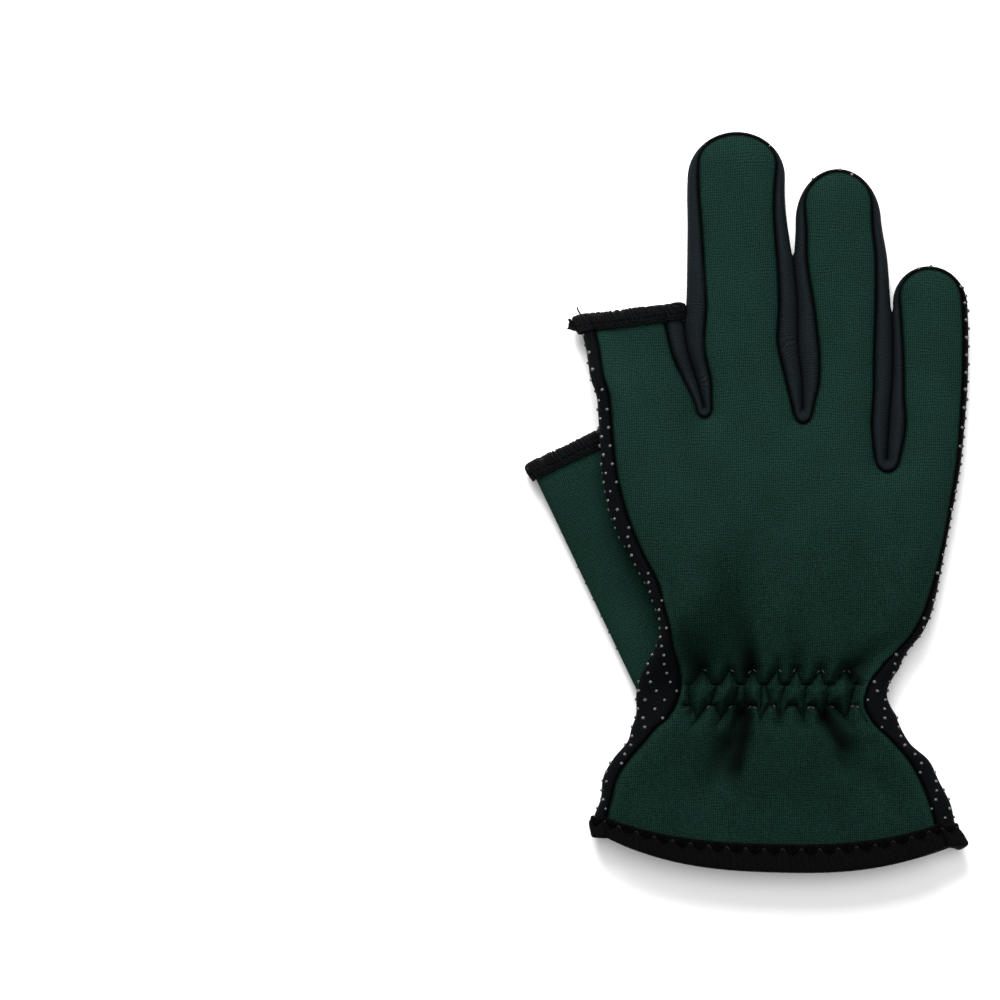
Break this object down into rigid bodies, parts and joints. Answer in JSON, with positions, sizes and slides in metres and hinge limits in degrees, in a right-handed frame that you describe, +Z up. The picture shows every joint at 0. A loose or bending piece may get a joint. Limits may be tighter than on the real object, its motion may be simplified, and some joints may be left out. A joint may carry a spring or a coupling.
{
  "type": "fishing glove",
  "caption": "Right-hand foam rubber fishing glove lying back up, with cut-off thumb and index tips, gathered wrist and flared, bound cuff.",
  "frame": {"origin": "middle of the surface that the glove lies on, under the centre of its outline", "axes": "+Y along the hand towards the fingertips, +X towards the little finger, +Z up, out of the back of the hand"},
  "size_m": [0.1422, 0.2372, 0.0282],
  "materials": {
    "back_knit": "dark green knit over foam rubber, fine courses, matt",
    "grip_cloth": "black cloth with small raised grip dots, matt",
    "side_cloth": "black jersey, matt",
    "edging": "black overlock thread and ribbed ribbon, matt"
  },
  "bodies": {
    "root": {"back_panel": "back_knit", "palm_panel": "grip_cloth", "fourchette_index_middle": "side_cloth", "fourchette_middle_ring": "side_cloth", "fourchette_ring_little": "side_cloth", "thumb_back": "back_knit", "thumb_grip": "grip_cloth", "index_binding": "edging", "thumb_binding": "edging", "cuff_binding": "edging"}
  },
  "joints": []
}
